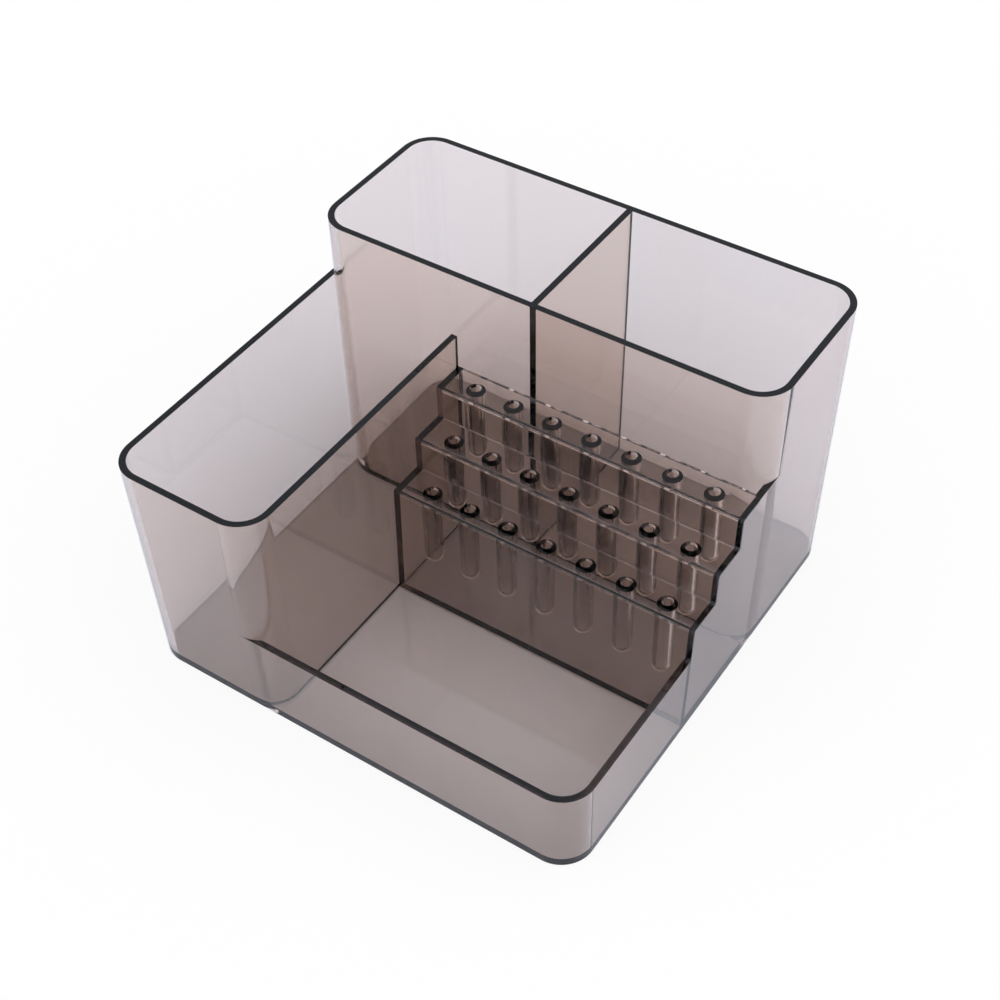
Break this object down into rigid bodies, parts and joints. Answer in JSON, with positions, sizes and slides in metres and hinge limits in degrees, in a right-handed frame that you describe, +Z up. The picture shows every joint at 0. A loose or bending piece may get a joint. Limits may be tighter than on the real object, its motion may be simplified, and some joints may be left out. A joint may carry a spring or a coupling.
{
  "type": "brush and tool organiser",
  "caption": "Smoked clear plastic desktop organiser with two tall rear bays, a left bay, a front tray and a stepped rack of small round sockets.",
  "frame": {"origin": "middle of the base, on the surface that it stands on", "axes": "+Z up, +X to the right along the front, +Y from the tray to the tall bays at the back"},
  "size_m": [0.15, 0.1496, 0.0965],
  "materials": {
    "smoke_plastic": "polished, see-through"
  },
  "bodies": {
    "root": {"base_plate": "smoke_plastic", "outer_sides": "smoke_plastic", "rear_box_front": "smoke_plastic", "rear_divider": "smoke_plastic", "left_bay_partition": "smoke_plastic", "stepped_rack": "smoke_plastic", "front_socket_1": "smoke_plastic", "front_socket_2": "smoke_plastic", "front_socket_3": "smoke_plastic", "front_socket_4": "smoke_plastic", "front_socket_5": "smoke_plastic", "front_socket_6": "smoke_plastic", "front_socket_7": "smoke_plastic", "middle_socket_1": "smoke_plastic", "middle_socket_2": "smoke_plastic", "middle_socket_3": "smoke_plastic", "middle_socket_4": "smoke_plastic", "middle_socket_5": "smoke_plastic", "middle_socket_6": "smoke_plastic", "middle_socket_7": "smoke_plastic", "rear_socket_1": "smoke_plastic", "rear_socket_2": "smoke_plastic", "rear_socket_3": "smoke_plastic", "rear_socket_4": "smoke_plastic", "rear_socket_5": "smoke_plastic", "rear_socket_6": "smoke_plastic", "rear_socket_7": "smoke_plastic"}
  },
  "joints": []
}
